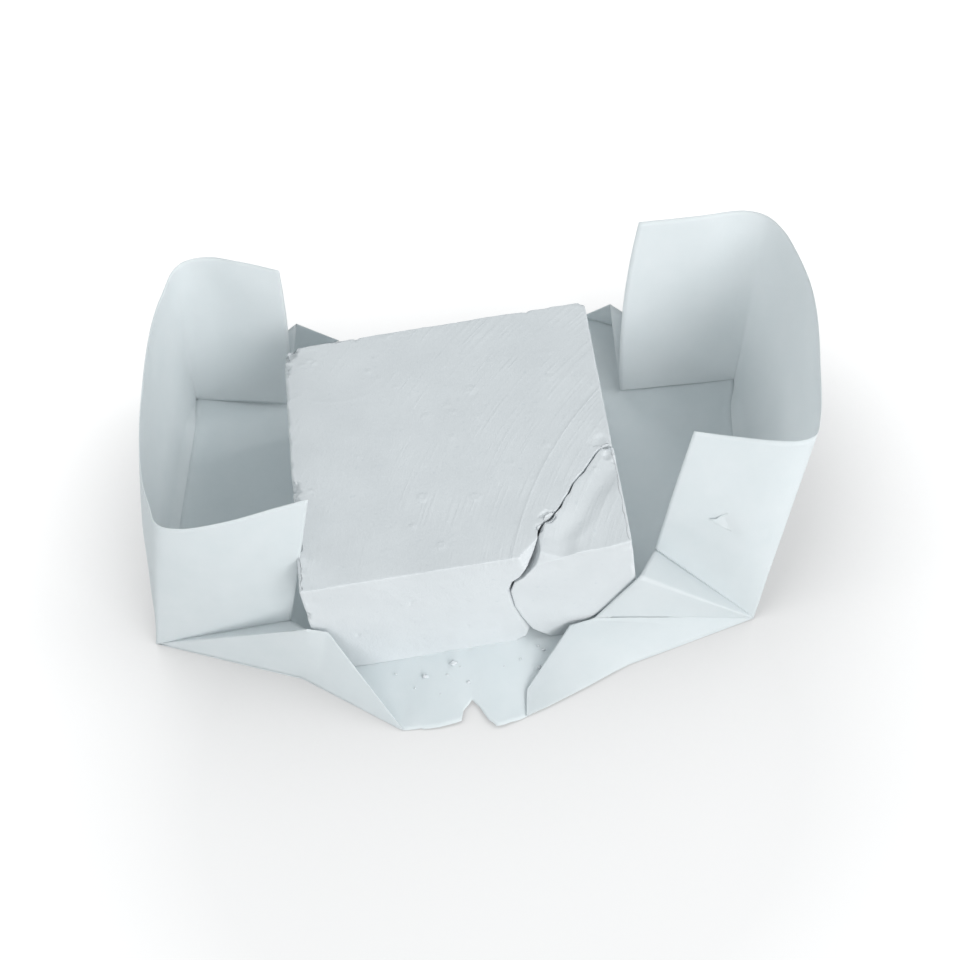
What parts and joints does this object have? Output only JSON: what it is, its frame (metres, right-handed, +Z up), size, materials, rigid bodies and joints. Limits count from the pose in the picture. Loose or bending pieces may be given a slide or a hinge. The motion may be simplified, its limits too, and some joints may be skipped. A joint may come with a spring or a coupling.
{
  "type": "gymnastics chalk block in an opened paper wrapper",
  "caption": "Square white chalk block with a cracked front corner, standing in its opened paper wrapper whose two ears curve up beside it",
  "frame": {"origin": "on the underside of the wrapper's floor panel, below the middle of the chalk block", "axes": "+Z up; -Y is the side with the cracked corner and the wide flap; +X towards the right ear; the block's faces are square to X and Y"},
  "size_m": [0.147, 0.1107, 0.0453],
  "materials": {
    "chalk": "dry, matt, powdery moulded magnesium carbonate with fine strokes and small pits",
    "wrapper_paper": "smooth, cold white wrapping paper with soft folds and a faint sheen"
  },
  "bodies": {
    "wrapper": {"wrapper_floor": "wrapper_paper", "front_flap": "wrapper_paper", "back_flap": "wrapper_paper", "chalk_crumbs": "chalk", "left_front_gusset": "wrapper_paper", "left_back_gusset": "wrapper_paper", "right_front_gusset": "wrapper_paper", "right_back_gusset": "wrapper_paper"},
    "left_ear": {"left_wall": "wrapper_paper", "left_front_wall": "wrapper_paper", "left_back_wall": "wrapper_paper"},
    "right_ear": {"right_wall": "wrapper_paper", "right_front_wall": "wrapper_paper", "right_back_wall": "wrapper_paper"},
    "block": {"chalk_block": "chalk"},
    "chunk": {"corner_chunk": "chalk"}
  },
  "joints": [
    {"name": "block_lift", "type": "slide", "parent": "wrapper", "child": "block", "axis": [0, 0, 1], "range_m": [0, 0.06]},
    {"name": "chunk_slip", "type": "slide", "parent": "block", "child": "chunk", "axis": [0.8038, -0.5949, 0], "range_m": [0, 0.0012]},
    {"name": "left_ear_fold", "type": "hinge", "parent": "wrapper", "child": "left_ear", "pos_m": [-0.0633, 0.0146, 0.0004], "axis": [0.1478, 0.989, 0], "range_deg": [-20, 0], "stiffness_Nm_per_rad": 0.004},
    {"name": "right_ear_fold", "type": "hinge", "parent": "wrapper", "child": "right_ear", "pos_m": [0.0603, -0.004, 0.0004], "axis": [0.1478, 0.989, 0], "range_deg": [0, 15], "stiffness_Nm_per_rad": 0.004}
  ]
}
